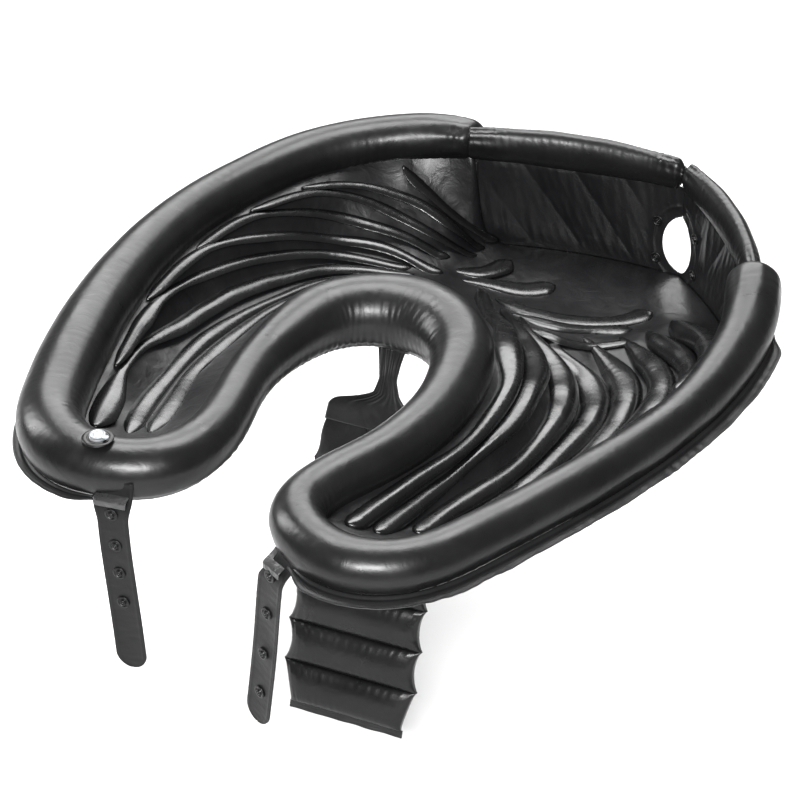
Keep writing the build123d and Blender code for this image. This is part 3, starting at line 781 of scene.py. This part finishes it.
def strap(side, root, turn, tilt, length, stops):
    """Hanging strap with its studs and weld patch: flat at each stud, bent under the lip at its root."""
    x_axis, y_axis, front = strap_axes(turn, tilt)
    root = np.array(root, float)
    round_end = 14
    s = np.concatenate([np.linspace(-9, length - round_end, 124),
                        length - round_end + round_end * np.sin(np.linspace(0, np.pi / 2, 24)[1:])])
    flare = 4.0 if side == "left" else -2.5
    half = 13.5 + flare * (1 - smooth(s, 2, 26))
    tip = np.clip((s - (length - 13.5)) / 13.5, 0, 0.9995)
    half = half * np.sqrt(1 - tip ** 2)
    v = np.sin(np.linspace(-np.pi / 2, np.pi / 2, 29))
    ss, vv = s[:, None], v[None, :]
    hh = half[:, None]
    bow = 0.9 * np.sin(ss / length * 5.1 + (0.4 if side == "left" else 2.0)) * smooth(ss, 10, 50)
    cup = 0.7 * (vv ** 2 - 0.4) * smooth(ss, 20, 60)
    edge = 0.35 * np.exp(-((np.abs(vv) * hh - (hh - 2.4)) / 0.7) ** 2)
    seed = 91 if side == "left" else 92
    ripple = 0.10 * waves(ss, vv * 2, seed, count=9, long=(9, 30), slant=1.2, ridged=True)
    off = bow + cup + ripple
    rise = 1 - smooth(ss, -9, 24)
    aside = (9.0 if side == "right" else 0.0) * rise
    flat_at = np.zeros_like(off)
    for stop in stops:
        flat_at = np.maximum(flat_at, np.exp(-(((ss - stop) ** 2 + (vv * hh) ** 2) / 70)))
    off = off * (1 - flat_at) - 8.0 * rise ** 1.5
    base = (root + (vv * hh + aside)[..., None] * x_axis - ss[..., None] * y_axis + off[..., None] * front)
    lift = (0.75 + edge * (1 - tip[:, None]))[..., None]
    obj = slab(f"{side}_strap_web", base + front * lift, base - front * 0.75)
    obj.data.materials.append(strap_vinyl)
    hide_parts(f"{side}_strap")
    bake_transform(obj)
    places = [(root - stop * y_axis, x_axis, front) for stop in stops]
    studs(f"{side}_strap_press_studs", places, 1.6, f"{side}_strap", f"{side}_strap_snaps")
    strap_weld(side, root, x_axis, front)


for side, values in STRAPS.items():
    strap(side, *values)

# ---- back pad -------------------------------------------------------------------------------

LEAN, TURN, ROLL = math.radians(17.5), math.radians(5.3), math.radians(1.4)
PAD_ROOT = np.array([-19.0, 65.0, -36.0])
PAD_Z = np.array([math.sin(TURN) * math.cos(LEAN), -math.cos(TURN) * math.cos(LEAN), math.sin(LEAN)])
PAD_LEVEL = np.array([math.cos(TURN), math.sin(TURN), 0.0])
PAD_X = math.cos(ROLL) * PAD_LEVEL + math.sin(ROLL) * np.cross(PAD_Z, PAD_LEVEL)
PAD_Y = np.cross(PAD_Z, PAD_X)
PAD_W, PAD_MID, PAD_TOP, PITCH, RIBS = 133.0, -6.8, 75.0, 39.2, 7


def pad_point(x, s, z):
    """A point x across, s down from the root and z out of the pad's face."""
    return PAD_ROOT + x[..., None] * PAD_X - s[..., None] * PAD_Y + z[..., None] * PAD_Z


def back_pad():
    """Air pad with a welded line between its ribs; its sides pull in at the middle of each rib."""
    across = np.sin(np.linspace(-np.pi / 2, np.pi / 2, 97))[None, :]
    lane = 0.5 - 0.5 * np.cos(np.linspace(0, np.pi, 25))
    lanes = np.concatenate([k + lane[min(k, 1):] for k in range(RIBS)])
    s = (PAD_TOP + lanes * PITCH)[:, None]
    f = (lanes - np.floor(lanes - 1e-9) - 0.5)[:, None]
    round_lane = np.sqrt(np.clip(1 - (2 * f) ** 2, 0, 1))
    settle = smooth(lanes[:, None], 0.3, 1.5)
    pull = 6.0 * round_lane ** 1.5 * settle + 2.5 * (1 - settle)
    first = 4 * np.clip(1 - lanes[:, None] / 0.5, 0, 1) ** 2
    last = 11 * np.clip(1 - (RIBS - lanes[:, None]) / 0.8, 0, 1) ** 2
    half = PAD_W / 2 - pull - first - last
    shoulder = 10 * (1 - smooth(lanes[:, None], 0.2, 2.4)) * np.clip(-across, 0, 1)
    x = PAD_MID + across * half + shoulder
    side_round = (1 - np.abs(across) ** 5) ** 0.5
    swell = 1.0 + 8.8 * round_lane ** 0.9 * side_round
    edge_wrinkle = waves(s, across * 5, 101, count=12, long=(5, 12), slant=2.5, ridged=True)
    edge_wrinkle = edge_wrinkle * smooth(np.abs(across), 0.55, 0.98)
    weld_wrinkle = waves(across * 69, s * 0.03, 102, count=12, long=(7, 20), slant=2.0, ridged=True)
    weld_wrinkle = weld_wrinkle * (1 - round_lane) ** 0.5
    soft = waves(across * 69, s * 0.02, 103, count=6, long=(40, 120), slant=2.0)
    swell = swell + (0.45 * edge_wrinkle * round_lane + 0.55 * weld_wrinkle * round_lane ** 0.3
                     + 0.4 * soft * round_lane)
    swell = np.clip(swell, 0.9, 10.0) * (0.4 + 0.6 * settle)
    sag = 2.5 * np.sin(s / 290 * np.pi) * across ** 2
    front = pad_point(x + 0 * s, s + 0 * x, swell - sag)
    back = pad_point(x + 0 * s, s + 0 * x, -swell - sag)
    return slab("back_pad_skin", front, back)


pad = dress(back_pad(), tube_vinyl, "back_pad", ["back_pad"])


def pad_neck():
    """Film web from the rim's underside down to the pad's shoulders, with gathered folds."""
    s = np.linspace(0, 76, 66)
    right = np.interp(s, [0, 12, 28, 42, 52, 60, 67, 75], [12, 9, 7, 11, 19, 34, 49, 55])
    left = np.interp(s, [0, 12, 28, 42, 49, 54, 60, 75], [-14, -12, -10, -14, -30, -50, -56, -58])
    for _ in range(3):
        right[1:-1] = (right[:-2] + 2 * right[1:-1] + right[2:]) / 4
        left[1:-1] = (left[:-2] + 2 * left[1:-1] + left[2:]) / 4
    v = np.linspace(0, 1, 49)
    x = left[:, None] + (right - left)[:, None] * v[None, :]
    ss = np.broadcast_to(s[:, None], x.shape)
    fold = waves(v[None, :] * 60, ss * 0.02, 111, count=8, long=(9, 26), slant=1.5, ridged=True)
    off = 0.9 * fold * np.exp(-((ss - 30) / 24) ** 2) + 1.2 * np.sin(v * np.pi)[None, :] * smooth(ss, 4, 30)
    half = 0.7 + 1.6 * np.sin(v * np.pi)[None, :] ** 0.5 * smooth(ss, 22, 64)
    return slab("pad_neck_web", pad_point(x, ss, off + half), pad_point(x, ss, off - half))


neck = pad_neck()
neck.data.materials.append(tube_vinyl)
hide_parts("pad_neck")
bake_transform(neck)


def pad_hem():
    """Flat hem with two pressed weld lines and a gently wavy foot."""
    inset, height = 10, 7
    x = np.linspace(PAD_MID - PAD_W / 2 + inset, PAD_MID + PAD_W / 2 - inset, 120)[None, :]
    h = np.linspace(0, height, 22)[:, None]
    s = PAD_TOP + PITCH * RIBS + 0.8 + h
    lines = 0.35 * (np.exp(-((h - 1.6) / 0.5) ** 2) + np.exp(-((h - 4.2) / 0.5) ** 2))
    wave = 0.7 * waves(x, h * 0.05, 121, count=8, long=(10, 40), slant=0.6) * h / height
    front = pad_point(x + 0 * h, s + 0 * x, 0.8 - lines + wave)
    back = pad_point(x + 0 * h, s + 0 * x, -0.8 + lines + wave)
    dress(slab("pad_hem_strip", front, back), weld_vinyl, "back_pad", ["pad_bottom_hem"])


def pad_root_weld():
    """Weld patch under the rim tube that carries the pad's neck."""
    u = np.linspace(-17, 17, 60)[None, :]
    v = np.linspace(-6, 6, 26)[:, None]
    dent = 0.25 * waves(u, v * 0.3, 122, count=9, long=(5, 14), slant=1.0, ridged=True)
    frame_line = 0.4 * np.exp(-((np.maximum(np.abs(u) - 11, np.abs(v) - 0.2) - 3.4) / 0.7) ** 2)
    z = 2.6 + dent + frame_line
    top = np.stack([PAD_ROOT[0] + u + 0 * v, PAD_ROOT[1] + 3 + v + 0 * u, PAD_ROOT[2] + z], -1)
    dress(slab("pad_root_weld", top, top - np.array([0, 0, 1.2])), weld_vinyl, "basin",
          ["pad_root_patch"])


pad_hem()
pad_root_weld()

# ---- inflation valve ------------------------------------------------------------------------

VALVE_AT = np.array([-104.0, -247.0, 27.0])
VALVE_SIDES, TAB_ROWS, TAB_COLS = 72, 14, 13


def ring_piece(name, profile, material, body, replaced):
    """Turned ring on the valve's axis, from the closed outline of its section."""
    rings = lathe(profile, VALVE_SIDES) + VALVE_AT
    rows, cols = rings.shape[:2]
    faces = [((i % rows) * cols + j, (i % rows) * cols + (j + 1) % cols,
              ((i + 1) % rows) * cols + (j + 1) % cols, ((i + 1) % rows) * cols + j)
             for i in range(rows) for j in range(cols)]
    dress(mesh_object(name, rings.reshape(-1, 3), faces), material, body, [replaced])


def tabbed_cap(name, profile, tab, material, body, replaced):
    """Closed turned piece on the valve's axis, with a round-ended tab beside it."""
    rings = lathe(profile, VALVE_SIDES) + VALVE_AT
    rows, cols = rings.shape[:2]
    near, far, half_w, low, high = tab
    u = np.linspace(0, 1, TAB_ROWS)
    v = np.linspace(-1, 1, TAB_COLS)
    round_end = half_w * np.sqrt(1 - np.clip((u - 0.55) / 0.46, 0, 1) ** 2)
    x = near + (far - near) * u[:, None] + 0 * v[None, :]
    y = round_end[:, None] * v[None, :]
    crown = 0.25 * (1 - v[None, :] ** 2) - 0.3 * np.exp(-((u[:, None] - 0.25) / 0.1) ** 2)
    top = np.stack([x, y, high + crown + 0 * x], -1) + VALVE_AT
    bottom = np.stack([x, y, low + 0 * x], -1) + VALVE_AT
    points = np.concatenate([grid.reshape(-1, 3) for grid in (rings, top, bottom)])
    faces = closed_faces(rows, cols) + slab_faces(TAB_ROWS, TAB_COLS, rows * cols)
    dress(mesh_object(name, points, faces), material, body, [replaced])


ring_piece("valve_flange_ring",
           [(7.1, 0.0), (7.1, 1.0), (7.4, 1.35), (8.3, 1.4), (8.8, 1.1), (9.3, 1.1), (9.8, 1.4), (11.4, 1.35),
            (11.9, 1.05), (12.5, 0.9), (12.95, 0.5), (13.0, 0.15), (12.9, 0.0), (10.0, -0.05)],
           stud_plastic, "basin", "valve_flange")
ring_piece("valve_stem_ring",
           [(4.0, -11.0), (4.0, 2.2), (4.3, 2.75), (4.9, 3.0), (5.3, 2.75), (5.6, 2.5), (6.0, 2.75),
            (6.5, 2.95), (6.9, 2.6), (7.0, 2.0), (7.0, -0.6), (6.7, -1.0), (6.7, -2.2), (7.0, -2.6),
            (7.0, -10.4), (6.4, -11.0)],
           valve_plastic, "valve_stem", "valve_stem")
# the tab: where it starts and ends along x, half width, underside and top
tabbed_cap("valve_cap_plug",
           [(0.02, 0.4), (2.6, 0.4), (3.0, 0.8), (3.2, 1.8), (3.7, 2.9), (4.2, 3.1), (6.2, 3.1), (6.6, 3.5),
            (6.6, 3.9), (6.2, 4.3), (5.4, 4.4), (4.9, 4.1), (4.1, 4.0), (3.4, 4.25), (2.4, 4.4), (1.6, 4.15),
            (0.9, 4.2), (0.02, 4.35)],
           (5.8, 10.4, 2.5, 3.1, 4.1), valve_plastic, "valve_cap", "valve_cap")

# the check flap, hidden inside the valve, stays the CAD piece
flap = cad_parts["valve_flap"]
flap.data.materials.clear()
flap.data.materials.append(stud_plastic)

# ---- floor, light and camera ----------------------------------------------------------------


def stage_floor():
    """Plain pale paper under the basin."""
    far, level = 9000, -420
    corners = [(-far, -far, level), (far, -far, level), (far, far, level), (-far, far, level)]
    obj = mesh_object("studio_floor", corners, [(0, 1, 2, 3)])
    mat = bpy.data.materials.new("studio_paper")
    mat.use_nodes = True
    tree = mat.node_tree
    shade = tree.nodes["Principled BSDF"]
    noise = node(tree, "ShaderNodeTexNoise", -700, 0, Scale=3.0, Detail=4.0)
    ramp = node(tree, "ShaderNodeValToRGB", -400, 0)
    ramp.color_ramp.elements[0].color = (0.62, 0.62, 0.62, 1)
    ramp.color_ramp.elements[1].color = (0.65, 0.65, 0.65, 1)
    tree.links.new(noise.outputs["Fac"], ramp.inputs["Fac"])
    tree.links.new(ramp.outputs["Color"], shade.inputs["Base Color"])
    shade.inputs["Roughness"].default_value = 0.9
    shade.inputs["Specular IOR Level"].default_value = 0.0
    obj.data.materials.append(mat)


stage_floor()


def softbox(name, at, aim, size, power):
    """Rectangular studio light, aimed at a point."""
    data = bpy.data.lights.new(name, "AREA")
    data.shape = "RECTANGLE"
    data.size, data.size_y = size
    data.energy = power
    obj = bpy.data.objects.new(name, data)
    scene.collection.objects.link(obj)
    obj.location = at
    obj.rotation_euler = (Vector(aim) - Vector(at)).to_track_quat("-Z", "Y").to_euler()


softbox("overhead_box", (-0.35, 0.55, 1.5), (0.0, 0.05, 0.0), (1.4, 0.8), 58)
softbox("rear_box", (-0.85, 1.5, 1.05), (0.0, 0.05, 0.0), (1.8, 0.9), 40)
softbox("front_box", (0.75, -1.75, 1.15), (0.0, 0.0, -0.05), (1.3, 0.45), 125)
softbox("left_box", (-1.7, -0.3, 0.75), (0.0, 0.0, 0.0), (0.5, 1.1), 26)

world = bpy.data.worlds.new("studio_world")
world.use_nodes = True
world.node_tree.nodes["Background"].inputs["Color"].default_value = (1, 1, 1, 1)
world.node_tree.nodes["Background"].inputs["Strength"].default_value = 0.2
scene.world = world
scene.view_settings.view_transform = "Standard"

CAMERA_AZIMUTH, CAMERA_ELEVATION = math.radians(30.5), math.radians(32.5)
CAMERA_AIM, CAMERA_DISTANCE = Vector((0, 0.047, 0)), 2.2309

camera = bpy.data.cameras.new("camera")
camera.lens = 117.2
camera.sensor_width = 36
camera.shift_x = -0.002
camera.shift_y = -0.0874
camera.clip_end = 50
cam = bpy.data.objects.new("camera", camera)
scene.collection.objects.link(cam)
back = Vector((math.sin(CAMERA_AZIMUTH) * math.cos(CAMERA_ELEVATION),
               -math.cos(CAMERA_AZIMUTH) * math.cos(CAMERA_ELEVATION), math.sin(CAMERA_ELEVATION)))
cam.location = CAMERA_AIM + back * CAMERA_DISTANCE
cam.rotation_euler = (-back).to_track_quat("-Z", "Y").to_euler()
scene.camera = cam
